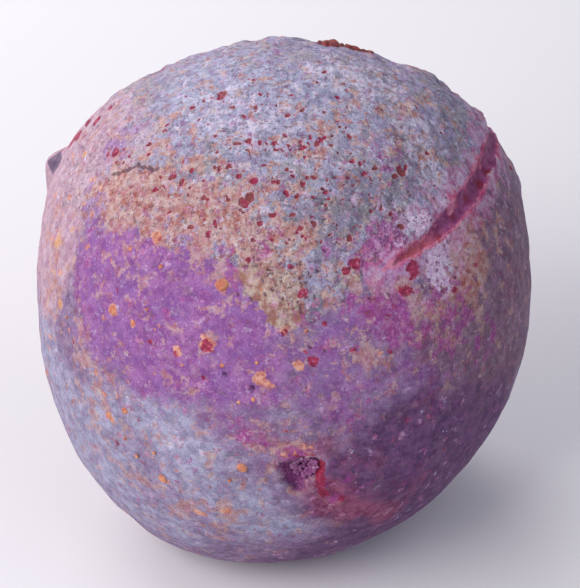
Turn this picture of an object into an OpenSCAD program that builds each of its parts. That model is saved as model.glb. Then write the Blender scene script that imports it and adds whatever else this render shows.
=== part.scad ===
// A pink agate geode that stands on a small flat cut base.
// The nodule is a lumpy ellipsoid. One flat cut in front is the polished face, and one below is the base.
// Inside, the layers grew one on another from the skin to the crystal pocket, so every boundary between
// two layers lies at its own share of the way from the nodule's skin to the pocket's wall.
// Front is -Y, up is +Z, and the origin lies on the base, straight below the nodule's middle.

/* [Nodule] */
// Half of the nodule's width, left to right
half_width = 49.5; // [47:0.5:52]
// Half of the nodule's depth, front to back, before the face is cut
half_depth = 50.5; // [48:0.5:53]
// Half of the nodule's height, before the base is cut
half_height = 54; // [52:0.5:57]
// Distance from the nodule's middle forward to the polished face
face_cut = 17; // [15:0.5:18]
// Distance from the nodule's middle down to the base
base_cut = 47; // [45:0.5:48]

/* [Pocket] */
// Half of the crystal pocket's width
pocket_half_width = 19; // [17:0.5:21]
// Half of the crystal pocket's depth
pocket_half_depth = 20; // [18:0.5:22]
// Half of the crystal pocket's height
pocket_half_height = 22; // [20:0.5:24]
// How far the pocket's middle lies in front of the nodule's middle
pocket_forward = 9; // [7:0.5:10]
// How far the pocket's middle lies above the nodule's middle
pocket_up = 2; // [0:0.5:4]

/* [Skin] */
// Depth of the pale crust on the upper back, as a share of the way in to the pocket
crust_share = 0.025; // [0.02:0.005:0.04]
// Width of the healed crack at its middle
crack_width = 3.4; // [2:0.1:4]
// Radius of the largest ochre nodule in the rind
ochre_r = 1.3; // [1:0.1:1.6]
// Radius of the hollow in the middle of the back
hollow_r = 3.8; // [3.4:0.1:4.2]

/* [Crystals] */
// Radius of the largest quartz points, across their corners
point_r = 2.4; // [2:0.1:2.6]
// Length of the largest quartz points
point_length = 8; // [6:0.5:9]

/* [Hidden] */

// The share of the way in at which each layer starts
SKIN = 0;
GREY = 0.09;
MAGENTA = 0.19;
WHITE = 0.34;
ROSE = 0.41;
LILAC = 0.56;
HOT_PINK = 0.67;
LINING = 0.74;
POCKET = 1;

middle = [0, 0, base_cut];
nodule_half = [half_width, half_depth, half_height];
pocket_middle = [0, -pocket_forward, pocket_up];
pocket_half = [pocket_half_width, pocket_half_depth, pocket_half_height];
skin_sides = 48;     // sides of the skin's rings
skin_rings = 26;     // rings of the skin, from the back pole to the face
inner_sides = 38;    // the same for the boundaries inside
inner_rings = 15;
last_ring = 120;     // angle of the last ring from the back pole, which lies in front of the face
far = 200;           // larger than the whole geode
ball_fn = 24;        // sides of the small nodules

// Swellings and flats of the skin: direction, height as a share of the radius, and spread
SKIN_LOBES = [
    [[0.8, -0.3, 0.56], 0.048, 0.06],     // upper left of the rim
    [[-0.8, -0.3, 0.63], 0.05, 0.06],     // upper right of the rim
    [[0.9, -0.35, 0.36], 0.055, 0.006],   // nub at the left end of the rim's arch
    [[-0.9, -0.35, 0.35], 0.055, 0.006],  // nub at its right end
    [[0.55, 0.6, -0.75], 0.059, 0.15],    // fuller low on one side of the back
    [[-0.65, 0.5, -0.45], -0.022, 0.15]   // flatter low on the other side
];
POCKET_LOBES = [
    [[0.7, -0.2, 0.7], 0.16, 0.2],
    [[-0.9, 0, -0.2], 0.14, 0.15],
    [[-0.3, -0.2, 1], -0.1, 0.15],
    [[0.5, 0, -0.9], 0.1, 0.2]
];

function unit(v) = v / norm(v);
function total(list, i = 0) = i == len(list) ? 0 : list[i] + total(list, i + 1);
function lobes(d, list) = total([for (l = list) l[1] * exp((d * unit(l[0]) - 1) / l[2])]);
function ellipsoid(d, half) = 1 / norm([d.x / half.x, d.y / half.y, d.z / half.z]);
function skin_radius(d) = ellipsoid(d, nodule_half) * (1 + lobes(d, SKIN_LOBES));
function pocket_radius(d) = ellipsoid(d, pocket_half) * (1 + lobes(d, POCKET_LOBES));

// The layers swell and thin a little on their way round. The skin and the pocket's wall stay as they are
function swell(t, d) = t + t * (1 - t) * (0.5 * d.x * d.z + 0.3 * (d.x * d.x - d.z * d.z) + 0.25 * d.x);
function grown(d, t) =
    let (s = swell(t, d)) (1 - s) * skin_radius(d) * d + s * (pocket_middle + pocket_radius(d) * d);

// Angle a from the back pole, and b around it
function direction(a, b) = [sin(a) * cos(b), cos(a), sin(a) * sin(b)];

// A closed solid of all that lies inside the boundary at share t. It ends in front of the polished face
module inside(t) {
    fine = t < GREY;
    rings = fine ? skin_rings : inner_rings;
    sides = fine ? skin_sides : inner_sides;
    pole = rings * sides;
    last = (rings - 1) * sides;
    function next(j) = (j + 1) % sides;
    translate(middle)
        polyhedron(
            concat(
                [for (i = [1 : rings], j = [0 : sides - 1])
                    grown(direction(last_ring * i / rings, 360 * j / sides), t)],
                [grown([0, 1, 0], t), [0, -face_cut - 20, 0]]
            ),
            concat(
                [for (j = [0 : sides - 1]) [pole, j, next(j)]],
                [for (i = [0 : rings - 2], j = [0 : sides - 1])
                    [i * sides + j, (i + 1) * sides + j, (i + 1) * sides + next(j)]],
                [for (i = [0 : rings - 2], j = [0 : sides - 1])
                    [i * sides + j, (i + 1) * sides + next(j), i * sides + next(j)]],
                [for (j = [0 : sides - 1]) [pole + 1, last + next(j), last + j]]
            )
        );
}

// What the saw took off in front and below
module saw_cuts() {
    translate([-far / 2, -face_cut - far, -far / 2]) cube(far);
    translate([-far / 2, -far / 2, -far]) cube(far);
}

// The layer between two boundaries, with its two cuts
module layer(outer, inner) {
    difference() {
        inside(outer);
        inside(inner);
        saw_cuts();
    }
}

// Turns +Z to point along v
module aim(v) {
    rotate([0, acos(v.z / norm(v)), atan2(v.y, v.x)]) children();
}

// A small bite where a flake broke off the rim, just above the left nub
module chip() {
    translate(middle + 55.9 * unit([0.83, -0.3, 0.5])) sphere(r = 4.5, $fn = 48);
}

// The crack runs from the rim down the upper right of the back. It is widest in its middle and closes at its foot
crack_place = unit([-0.6, 0.38, 0.7]);
crack_rim = 45;   // from the crack's middle to past the rim
crack_foot = 17;  // from the crack's middle to its foot
crack_steps = 10;
function crack_half(s) = s > 0
    ? crack_width / 2 * (1 - 0.5 * min(1, s / 25))
    : crack_width / 2 * sqrt(max(0, 1 + s / crack_foot));
function crack_bend(s) = -0.004 * s * s;
crack_line = [for (k = [0 : crack_steps]) -crack_foot + (crack_foot + crack_rim) * pow(k / crack_steps, 1.3)];
module from_crack() {
    translate(middle + crack_place * 36) aim(crack_place) linear_extrude(30) children();
}
module crack_slot() {
    from_crack()
        polygon(concat(
            [for (s = crack_line) [crack_bend(s) + crack_half(s), s]],
            [for (k = [crack_steps : -1 : 1]) [crack_bend(crack_line[k]) - crack_half(crack_line[k]), crack_line[k]]]
        ));
}
// All that lies on the lower side of the crack's middle line
module below_crack() {
    from_crack()
        polygon(concat(
            [for (s = crack_line) [crack_bend(s), s]],
            [[60, crack_rim], [60, -26], [4, -26]]
        ));
}

// The crust covers the top and the upper back. Seen from above its edge wanders, with one tongue down the back,
// and on one side it stops at the crack
function bump(turn, at, spread) = exp(-pow((turn - at) / spread, 2));
function open_edge(turn) =
    35.5 + 7 * bump(turn, 0, 38) + 7 * bump(turn, 96, 13) + 0.5 * sin(7 * turn) + 0.4 * sin(17 * turn);
function crust_reach(turn) = turn < 122 ? open_edge(turn) : turn < 335 ? 55 : open_edge(turn - 360);
module crust_window() {
    difference() {
        translate(middle + [0, 0, 20])
            linear_extrude(60)
                polygon([for (turn = [0 : 5 : 355]) crust_reach(turn) * [cos(turn), sin(turn)]]);
        below_crack();
    }
}

// Ochre nodules sit half sunk in the rind: angle from the back pole, angle round it, and size as a share
OCHRE = [[51, 37, 1], [45.5, 41, 0.7], [44, 72, 0.9], [37, 12, 0.6], [41, 5, 0.55], [9, 5, 0.75], [28, 343, 0.7]];
module ochre_balls() {
    for (n = OCHRE) {
        d = direction(n[0], n[1]);
        translate(middle + d * (skin_radius(d) - 0.45 * ochre_r)) sphere(r = ochre_r * n[2], $fn = ball_fn);
    }
}

// Iron knobs stand on the rim over the top of the face: place across, place front to back, and radius
IRON = [[-9.5, -15, 1.7], [-13, -15.3, 1.3], [-16.2, -15.6, 1.1]];
module iron_balls() {
    for (n = IRON) {
        d = unit([n[0], n[1], sqrt(52 * 52 - n[0] * n[0] - n[1] * n[1])]);
        translate(middle + d * (skin_radius(d) - 0.3)) sphere(r = n[2], $fn = ball_fn);
    }
}

// The hollow in the middle of the back
hollow_place = unit([-0.073, 0.997, 0.016]);
hollow_middle = middle + hollow_place * (skin_radius(hollow_place) + 0.35 * hollow_r);
module hollow() {
    translate(hollow_middle) sphere(r = hollow_r, $fn = 48);
}

// One quartz point: a six-sided prism that ends in a six-sided pyramid
module quartz_point(r, length) {
    neck = 0.6 * length;
    corners = [for (k = [0 : 5]) r * [cos(60 * k), sin(60 * k)]];
    polyhedron(
        concat(
            [for (c = corners) [c.x, c.y, 0]],
            [for (c = corners) [c.x, c.y, neck]],
            [[0, 0, length]]
        ),
        concat(
            [[0, 1, 2, 3, 4, 5]],
            [for (k = [0 : 5]) [(k + 1) % 6, k, k + 6, (k + 1) % 6 + 6]],
            [for (k = [0 : 5]) [(k + 1) % 6 + 6, k + 6, 12]]
        )
    );
}

// Points grow inward from the pocket's wall. The golden angle keeps them apart, and the wall trims their feet
point_count = 96;
buried = 1.5;
LARGE = [0];
MEDIUM = [1, 3];
SMALL = [2, 4];
function on_wall(i) = direction(acos(1 - 1.25 * (i + 0.5) / point_count), 137.508 * i);
function is_in(x, list) = len([for (v = list) if (v == x) v]) > 0;
module points(turns, r, length) {
    intersection() {
        inside(POCKET);
        for (i = [0 : point_count - 1])
            if (is_in(i % 5, turns)) {
                d = on_wall(i);
                lean = 0.12 * [sin(73 * i), sin(41 * i), sin(97 * i)];
                translate(middle + grown(d, POCKET) + d * buried)
                    aim(lean - d) rotate(29 * i) quartz_point(r, length + buried);
            }
    }
}

module rind() {
    color("mediumorchid")
    difference() {
        layer(SKIN, GREY);
        chip();
        crack_slot();
        difference() {
            crust_window();
            inside(crust_share);
        }
        ochre_balls();
        iron_balls();
        hollow();
    }
}

module pale_crust() {
    color("lavender")
    intersection() {
        difference() {
            layer(SKIN, crust_share);
            chip();
            crack_slot();
            ochre_balls();
            iron_balls();
        }
        crust_window();
    }
}

module healed_crack() {
    color("deeppink")
    intersection() {
        layer(SKIN, GREY);
        crack_slot();
    }
}

module ochre_nodules() {
    color("sandybrown") ochre_balls();
}

module iron_knobs() {
    color("firebrick") iron_balls();
}

module grey_chalcedony() {
    color("thistle")
    difference() {
        layer(GREY, MAGENTA);
        chip();
    }
}

module magenta_band() {
    color("mediumvioletred") layer(MAGENTA, WHITE);
}

module white_band() {
    color("white") layer(WHITE, ROSE);
}

module rose_band() {
    color("palevioletred") layer(ROSE, LILAC);
}

module lilac_band() {
    color("plum") layer(LILAC, HOT_PINK);
}

module hot_pink_band() {
    color("hotpink") layer(HOT_PINK, LINING);
}

module quartz_lining() {
    color("mistyrose") layer(LINING, POCKET);
}

module large_quartz_points() {
    color("pink") points(LARGE, point_r, point_length);
}

module medium_quartz_points() {
    color("pink") points(MEDIUM, 0.7 * point_r, 0.65 * point_length);
}

module small_quartz_points() {
    color("pink") points(SMALL, 0.5 * point_r, 0.4 * point_length);
}

// Tiny dark points stand on the floor of the hollow
module hollow_druse() {
    color("darkmagenta")
    intersection() {
        hollow();
        for (i = [0 : 6]) {
            aside = (i == 0 ? 0 : 0.45) * [cos(60 * i), 0, sin(60 * i)];
            d = unit(aside - hollow_place);
            translate(hollow_middle + d * (hollow_r + 0.4)) aim(-d) quartz_point(0.6, 1.9);
        }
    }
}

rind();
pale_crust();
healed_crack();
ochre_nodules();
iron_knobs();
grey_chalcedony();
magenta_band();
white_band();
rose_band();
lilac_band();
hot_pink_band();
quartz_lining();
large_quartz_points();
medium_quartz_points();
small_quartz_points();
hollow_druse();
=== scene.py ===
# %% [markdown]
# # A pink agate geode that stands by itself
#
# A geode is a nodule that grew in a gas bubble in lava. First a rind formed against the lava, then layer
# on layer of agate, then quartz crystals in the pocket that was left. A saw cut the nodule twice: in front,
# to show the layers, and below, so that it stands. Front is -Y and up is +Z.
#
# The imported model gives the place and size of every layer. This lesson gives each of them the surface and
# the finish of the real stone.

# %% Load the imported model
import itertools
import math
import bpy
import numpy as np
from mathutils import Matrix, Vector


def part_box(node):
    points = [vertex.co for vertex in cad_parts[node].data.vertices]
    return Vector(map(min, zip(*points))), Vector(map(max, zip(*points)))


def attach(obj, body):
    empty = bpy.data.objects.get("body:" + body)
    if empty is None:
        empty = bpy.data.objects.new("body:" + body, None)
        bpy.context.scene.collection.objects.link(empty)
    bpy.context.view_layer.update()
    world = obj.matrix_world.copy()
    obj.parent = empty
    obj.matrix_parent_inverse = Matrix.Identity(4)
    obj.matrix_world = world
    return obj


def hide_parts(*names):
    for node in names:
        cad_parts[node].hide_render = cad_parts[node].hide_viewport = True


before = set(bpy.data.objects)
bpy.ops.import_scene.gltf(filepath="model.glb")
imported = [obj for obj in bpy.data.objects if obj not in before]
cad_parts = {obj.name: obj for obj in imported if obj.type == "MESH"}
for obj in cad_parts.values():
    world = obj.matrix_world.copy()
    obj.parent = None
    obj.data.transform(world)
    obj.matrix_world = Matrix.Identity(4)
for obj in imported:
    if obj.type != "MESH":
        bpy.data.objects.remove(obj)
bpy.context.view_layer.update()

MM = 0.001


def deselect():
    """Operators act on all that is selected, so each step starts with nothing selected."""
    if bpy.context.object and bpy.context.object.mode != "OBJECT":
        bpy.ops.object.mode_set(mode="OBJECT")
    bpy.ops.object.select_all(action="DESELECT")


# %% [markdown]
# ## The nodule's shape
#
# The nodule is a lumpy ellipsoid, and its layers are named by their share of the way in: 0 is the skin and
# 1 is the pocket's wall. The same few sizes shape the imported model. Writing them as one function of
# direction gives every piece a smooth surface that fits its neighbours, at any fineness.

# %% The skin and the pocket as functions of direction
MIDDLE = np.array([0, 0, 47.0]) * MM
NODULE_HALF = np.array([49.5, 50.5, 54.0]) * MM
POCKET_MIDDLE = np.array([0, -9.0, 2.0]) * MM
POCKET_HALF = np.array([19.0, 20.0, 22.0]) * MM
FACE_Y = float(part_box("rind")[0].y)
BASE_Z = 0.0

SKIN_LOBES = [
    ((0.8, -0.3, 0.56), 0.048, 0.06),
    ((-0.8, -0.3, 0.63), 0.05, 0.06),
    ((0.9, -0.35, 0.36), 0.055, 0.006),
    ((-0.9, -0.35, 0.35), 0.055, 0.006),
    ((0.55, 0.6, -0.75), 0.059, 0.15),
    ((-0.65, 0.5, -0.45), -0.022, 0.15),
]
POCKET_LOBES = [
    ((0.7, -0.2, 0.7), 0.16, 0.2),
    ((-0.9, 0, -0.2), 0.14, 0.15),
    ((-0.3, -0.2, 1), -0.1, 0.15),
    ((0.5, 0, -0.9), 0.1, 0.2),
]


def unit(v):
    v = np.asarray(v, float)
    return v / np.linalg.norm(v, axis=-1, keepdims=True)


def lumpy(d, half, lobes):
    """Radius of a lumpy ellipsoid in the directions d."""
    swell = sum(height * np.exp((d @ unit(way) - 1) / spread) for way, height, spread in lobes)
    return (1 + swell) / np.linalg.norm(d / half, axis=-1)


def skin_radius(d):
    return lumpy(d, NODULE_HALF, SKIN_LOBES)


def grown(d, share):
    """Points in the directions d on the boundary at that share of the way in."""
    x, z = d[..., 0], d[..., 2]
    s = share + share * (1 - share) * (0.5 * x * z + 0.3 * (x * x - z * z) + 0.25 * x)
    s = s[..., None]
    skin = skin_radius(d)[..., None] * d
    wall = POCKET_MIDDLE + lumpy(d, POCKET_HALF, POCKET_LOBES)[..., None] * d
    return MIDDLE + (1 - s) * skin + s * wall


def ring_direction(a, b):
    """Directions at angle a from the back pole and b around it, in radians."""
    return np.stack([np.sin(a) * np.cos(b), np.cos(a), np.sin(a) * np.sin(b)], axis=-1)


def toward(turn, lift):
    """A direction: degrees from straight back toward +X, and degrees above the middle."""
    a, e = math.radians(turn), math.radians(lift)
    return np.array([math.sin(a) * math.cos(e), math.cos(a) * math.cos(e), math.sin(e)])


def place(turn, lift, out=0.0):
    """The point on the skin in that direction, or out beyond it."""
    d = toward(turn, lift)
    return MIDDLE + (skin_radius(d) + out) * d


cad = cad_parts["grey_chalcedony"].data.vertices
points = np.array([v.co for v in cad])
inside_cuts = (points[:, 1] > FACE_Y + 0.001) & (points[:, 2] > 0.001)
radius = np.linalg.norm(points[inside_cuts] - MIDDLE, axis=1)
print("grey chalcedony reaches", round(radius.max() / MM, 1), "mm from the nodule's middle")


# %% [markdown]
# ## Camera, floor and light
#
# The geode is seen from behind and above, the way it lies on a table with its cut face turned away.
# A pale floor and two large soft lights show its dry, matte skin, with the main one on the left. A third
# light stands in front, for the polished face.

# %% Camera, floor and lights
CAMERA_UP = math.radians(40)
CAMERA_AWAY = 0.430
CAMERA_LENS = 130.8
AIM_RIGHT_MM, AIM_UP_MM = 1.04, 0.55


def add_camera():
    away = Vector((0, math.cos(CAMERA_UP), math.sin(CAMERA_UP)))
    right, up = Vector((-1, 0, 0)), Vector((0, -math.sin(CAMERA_UP), math.cos(CAMERA_UP)))
    aim = Vector(MIDDLE) + right * AIM_RIGHT_MM * MM + up * AIM_UP_MM * MM
    bpy.ops.object.camera_add(location=aim + away * CAMERA_AWAY)
    camera = bpy.context.object
    camera.rotation_euler = away.to_track_quat("Z", "Y").to_euler()
    camera.data.lens = CAMERA_LENS
    camera.data.clip_start = 0.01
    bpy.context.scene.camera = camera


def add_light(name, location, size, watts, colour):
    bpy.ops.object.light_add(type="AREA", location=location)
    light = bpy.context.object
    light.name = name
    light.data.size = size
    light.data.energy = watts
    light.data.color = colour
    light.rotation_euler = (Vector(location) - Vector(MIDDLE)).to_track_quat("Z", "Y").to_euler()


deselect()
add_camera()
add_light("key_light", (0.46, 0.36, 0.58), 0.5, 5.0, (1.0, 0.97, 0.94))
add_light("fill_light", (-0.45, 0.3, 0.7), 0.6, 1.2, (0.88, 0.9, 1.0))
add_light("front_light", (0.3, -0.6, 0.35), 0.5, 4.0, (1.0, 0.98, 0.97))
bpy.ops.mesh.primitive_plane_add(size=6, location=(0, 0, 0))
floor = bpy.context.object
floor.name = "floor"
bpy.context.scene.view_settings.view_transform = "Standard"
world = bpy.data.worlds.new("studio")
bpy.context.scene.world = world
world.use_nodes = True
background = world.node_tree.nodes["Background"]
background.inputs["Color"].default_value = (0.85, 0.88, 1.0, 1)
background.inputs["Strength"].default_value = 0.32
print("camera at", [round(v, 3) for v in bpy.context.scene.camera.location])


# %% [markdown]
# ## Writing shader maths as sums
#
# A material's nodes are easier to read as maths. One small class wraps a socket, so that mask * 0.5 + 0.1
# adds its Math nodes. Colours go through Mix nodes, because a Math node would turn them grey.

# %% A small language for materials
class Value:
    """A number that varies over a surface."""

    def __init__(self, stone, socket):
        self.stone, self.socket = stone, socket

    def math(self, operation, *others):
        return self.stone.node("ShaderNodeMath", {"operation": operation}, [self, *others])

    def __add__(self, other):
        return self.math("ADD", other)

    def __sub__(self, other):
        return self.math("SUBTRACT", other)

    def __rsub__(self, other):
        return self.math("MULTIPLY_ADD", -1.0, other)

    def __mul__(self, other):
        return self.math("MULTIPLY", other)

    __radd__, __rmul__ = __add__, __mul__

    def at_most(self, limit):
        return self.math("MINIMUM", limit)

    def step(self, low, high):
        """0 below low, 1 above high, and smooth between."""
        return self.stone.node("ShaderNodeMapRange", {"interpolation_type": "SMOOTHSTEP"},
                               {"Value": self, "From Min": low, "From Max": high})


def srgb(r, g, b):
    """A colour as the eye names it, 0 to 255, as the light that the renderer needs."""
    def linear(c):
        c = c / 255
        return c / 12.92 if c <= 0.04045 else ((c + 0.055) / 1.055) ** 2.4
    return (linear(r), linear(g), linear(b), 1)


class Stone:
    """A material, and the few ways in which this lesson adds nodes to it."""

    def __init__(self, name, **constants):
        self.material = bpy.data.materials.new(name)
        self.material.use_nodes = True
        self.tree = self.material.node_tree
        self.shader = self.tree.nodes["Principled BSDF"]
        for socket, value in constants.items():
            self.shader.inputs[socket.replace("_", " ")].default_value = value
        self.where = self.node("ShaderNodeTexCoord", {}, {}, "Object")

    def node(self, kind, settings, inputs, output=0):
        made = self.tree.nodes.new(kind)
        for name, value in settings.items():
            setattr(made, name, value)
        pairs = inputs.items() if isinstance(inputs, dict) else enumerate(inputs)
        for key, value in pairs:
            if isinstance(value, Value):
                self.tree.links.new(value.socket, made.inputs[key])
            else:
                made.inputs[key].default_value = value
        return Value(self, made.outputs[output])

    def noise(self, size_mm, detail=2.0, roughness=0.5, offset=(0, 0, 0)):
        """Smooth random values from 0 to 1, in lumps of about size_mm."""
        moved = self.node("ShaderNodeMapping", {}, {"Vector": self.where, "Location": offset}, "Vector")
        return self.node("ShaderNodeTexNoise", {"noise_dimensions": "3D"},
                         {"Vector": moved, "Scale": 1000 / size_mm, "Detail": detail,
                          "Roughness": roughness}, "Fac")

    def cells(self, size_mm):
        """How far each place is from the nearest of many scattered points: small cells, like crystals."""
        return self.node("ShaderNodeTexVoronoi", {}, {"Vector": self.where, "Scale": 1000 / size_mm},
                         "Distance")

    def mask(self, name):
        """A number that the piece's own mesh carries."""
        return self.node("ShaderNodeAttribute", {"attribute_name": name}, {}, "Fac")

    def mix(self, factor, first, second):
        """The first colour where factor is 0, the second where it is 1."""
        made = self.tree.nodes.new("ShaderNodeMix")
        made.data_type = "RGBA"
        for index, value in ((0, factor), (6, first), (7, second)):
            if isinstance(value, Value):
                self.tree.links.new(value.socket, made.inputs[index])
            else:
                made.inputs[index].default_value = value
        return Value(self, made.outputs[2])

    def finish(self, colour, roughness=None, height=None, height_mm=0.1):
        """Links what varies to the shader. Height goes through a bump of at most height_mm."""
        self.tree.links.new(colour.socket, self.shader.inputs["Base Color"])
        if roughness is not None:
            self.tree.links.new(roughness.socket, self.shader.inputs["Roughness"])
        if height is not None:
            bumped = self.node("ShaderNodeBump", {}, {"Height": height, "Distance": height_mm * MM,
                                                      "Strength": 1.0}, "Normal")
            self.tree.links.new(bumped.socket, self.shader.inputs["Normal"])
        return self.material


def wear(piece, material):
    piece.data.materials.clear()
    piece.data.materials.append(material)


wear(floor, Stone("pale_floor", Roughness=0.9, Base_Color=srgb(226, 224, 228)).material)
print("the floor wears", floor.data.materials[0].name)


# %% [markdown]
# ## Roughness that geometry carries
#
# Weathered stone has lumps inside lumps. A table of random numbers, smoothed between its entries, gives
# the same lumps on every run. Small pits, dimples and grooves are then pressed into the surface.

# %% Lumps and dents
GRAIN_CELLS = 32


def grain(points, size_mm, seed):
    """Smooth random heights from -1 to 1, in lumps of about size_mm."""
    table = np.random.default_rng(seed).uniform(-1, 1, (GRAIN_CELLS,) * 3)
    scaled = points / (size_mm * MM)
    cell = np.floor(scaled).astype(int)
    part = scaled - cell
    part = part * part * (3 - 2 * part)
    total = 0
    for corner in itertools.product((0, 1), repeat=3):
        weight = np.prod(np.where(corner, part, 1 - part), axis=-1)
        at = (cell + corner) % GRAIN_CELLS
        total = total + weight * table[at[..., 0], at[..., 1], at[..., 2]]
    return total


def ramp(x, low, high):
    """0 below low, 1 above high, and smooth between."""
    t = np.clip((x - low) / (high - low), 0, 1)
    return t * t * (3 - 2 * t)


def near(points, spot, radius_mm, soft=0.5):
    """1 close to the spot, 0 beyond the radius."""
    away = np.linalg.norm(points - spot, axis=-1) / MM
    return 1 - ramp(away, radius_mm * (1 - soft), radius_mm)


# %% [markdown]
# ## Where the crack, the nub and the crust lie
#
# Several pieces follow the crack, the nub at one end of the rim, and the crust's edge, so each of them is
# written once, as a function of the place. Distances along and across the crack are easier to work with
# than places in space. The nub is a low ridge on the rim, and one side of it has broken away.

# %% The crack's own coordinates
CRACK_PLACE = unit([-0.6, 0.38, 0.7])
CRACK_ACROSS = unit([CRACK_PLACE[0] * CRACK_PLACE[2], CRACK_PLACE[1] * CRACK_PLACE[2],
                     CRACK_PLACE[2] ** 2 - 1])
CRACK_ALONG = np.cross(CRACK_PLACE, CRACK_ACROSS)
CRACK_FOOT, CRACK_WIDTH, CRACK_BEND = 17.0, 3.4, 0.004
CRACK_ABOVE = 60 * MM


def crack_half(along):
    """Half the crack's width, in mm. It narrows a little to the rim and to a point at its foot."""
    toward_rim = 1 - 0.15 * np.minimum(1, along / 25)
    toward_foot = np.sqrt(np.maximum(0, 1 + along / CRACK_FOOT))
    return CRACK_WIDTH / 2 * np.where(along > 0, toward_rim, toward_foot)


def crack_coordinates(points):
    """How far points lie from the crack's line and along it, in mm, and half its width there."""
    from_middle = (points - MIDDLE) / MM
    along = from_middle @ CRACK_ALONG
    across = from_middle @ CRACK_ACROSS + CRACK_BEND * along ** 2
    return across, along, crack_half(along)


print("the crack is", CRACK_WIDTH, "mm wide, and its foot is", CRACK_FOOT, "mm from its middle")


# %% The nub with a broken side
NUB = place(107, 25)
NUB_UP = unit(NUB - MIDDLE)
NUB_BACK = unit(np.array([0, -1, 0]) + NUB_UP[1] * NUB_UP)
NUB_ALONG = np.cross(NUB_UP, NUB_BACK)
NUB_HEIGHT = 1.9


def nub_ridge(points):
    """The nub's height as a share, and 1 on its broken side."""
    along = (points - NUB) @ NUB_ALONG / MM
    back = (points - NUB) @ NUB_BACK / MM
    close = np.linalg.norm(points - NUB, axis=-1) < 12 * MM
    height = np.exp(-(along / 3.4) ** 2) * ramp(back, -2.8, 0.5)
    side = np.exp(-((along + 1.6) / 2.2) ** 4) * ramp(back, -3.3, -2.5) * (1 - ramp(back, 0.6, 1.2))
    return np.where(close, height, 0), np.where(close, side, 0)


print("the nub stands", NUB_HEIGHT, "mm high at", [round(v / MM, 1) for v in NUB])


# %% The crust's edge
def crust_reach(turn):
    """How far the crust's edge lies from the upright axis, seen from above, in mm."""
    def bump(at, spread):
        return np.exp(-((turn - at) / spread) ** 2)
    return (35.5 + 7 * bump(0, 38) + 7 * bump(96, 13)
            + 0.5 * np.sin(np.radians(7 * turn)) + 0.4 * np.sin(np.radians(17 * turn)))


def crust_inside(points):
    """How far inside the crust's edge points lie, in mm. Negative is outside."""
    from_middle = (points - MIDDLE) / MM
    turn = np.degrees(np.arctan2(from_middle[:, 1], from_middle[:, 0]))
    # In front, the crust runs on past the polished face, and the saw ends it there.
    reach = np.where(np.abs(turn - 15) < 110, crust_reach(turn), 55)
    inside = reach - np.hypot(from_middle[:, 0], from_middle[:, 1])
    across, along, half = crack_coordinates(points)
    by_the_crack = (along > -CRACK_FOOT) | (across > 2)
    inside = np.where(by_the_crack, np.minimum(inside, -across - half - 0.1), inside)
    return np.where(from_middle[:, 2] > 15, inside, -20)


# %% [markdown]
# ## A ball to start from
#
# A cube that is cut into squares and swollen to a ball has even faces all over and no poles, which suits a
# lumpy stone. Its corners are then moved out to the nodule's skin. Work by hand is the same few moves each
# time: pick a piece, open it in edit mode, change it and close it.

# %% Taking a piece in hand
def pick(*pieces):
    """Selects these pieces and nothing else. The first is the active one."""
    deselect()
    for piece in pieces:
        piece.select_set(True)
    bpy.context.view_layer.objects.active = pieces[0]


def open_up(piece, action="SELECT"):
    """Opens a piece in edit mode, with all or nothing of it selected."""
    pick(piece)
    bpy.ops.object.mode_set(mode="EDIT")
    bpy.ops.mesh.select_all(action=action)


def close_up():
    bpy.ops.object.mode_set(mode="OBJECT")


def named(name):
    """Gives the primitive just added its name."""
    piece = bpy.context.object
    piece.name = piece.data.name = name
    return piece


# %% Shaping, sawing and putting pieces in place
TOUCHING = 1e-6


def corners(piece):
    co = np.empty(len(piece.data.vertices) * 3)
    piece.data.vertices.foreach_get("co", co)
    return co.reshape(-1, 3)


def put(piece, points):
    piece.data.vertices.foreach_set("co", np.ascontiguousarray(points, float).ravel())
    piece.data.update()


def square_ball(name, cuts):
    """A ball of radius 1 made from a cube cut into squares."""
    deselect()
    bpy.ops.mesh.primitive_cube_add(size=2, location=(0, 0, 0))
    ball = named(name)
    open_up(ball)
    bpy.ops.mesh.subdivide(number_cuts=cuts)
    close_up()
    put(ball, unit(np.tan(corners(ball) * math.pi / 4)))
    return ball


def cut(piece, at, out):
    """Cuts off what lies beyond a plane, and closes the cut."""
    open_up(piece)
    bpy.ops.mesh.bisect(plane_co=at, plane_no=out, use_fill=True, clear_outer=True, threshold=TOUCHING)
    close_up()


def saw(piece, back=0.0):
    """Cuts off what lies in front of the face and below the base. Pieces that overlap are sawn at slightly
    different depths, because two faces in one plane would flicker or turn black."""
    cut(piece, (0, FACE_Y + back, 0), (0, -1, 0))
    cut(piece, (0, 0, BASE_Z), (0, 0, -1))


def join(*pieces):
    pick(*pieces)
    bpy.ops.object.join()
    return pieces[0]


def carry(piece, name, values):
    """Stores a number at each corner of the mesh, for the material to read."""
    made = piece.data.attributes.new(name, "FLOAT", "POINT")
    made.data.foreach_set("value", np.ascontiguousarray(values, np.float32))


def stands_for(piece, node):
    """Attaches a finished piece to the root body, hides the imported part it stands for, and prints its
    triangles.
    """
    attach(piece, "root")
    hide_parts(node)
    print(piece.name, "has", sum(len(p.vertices) - 2 for p in piece.data.polygons), "triangles")


def settle(piece, node):
    """Shades a finished piece smooth, but for its sharp edges, attaches it to the root body and hides the
    imported part it stands for.
    """
    pick(piece)
    bpy.ops.object.shade_smooth_by_angle(angle=math.radians(38))
    stands_for(piece, node)


# %% Spots, and points nudged so that their edges are ragged
def ragged(points, size_mm, far_mm, seed):
    """The same points, pushed about a little, so that round masks get torn edges."""
    push = np.stack([grain(points, size_mm, seed + k) for k in range(3)], axis=-1)
    return points + push * far_mm * MM


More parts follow.
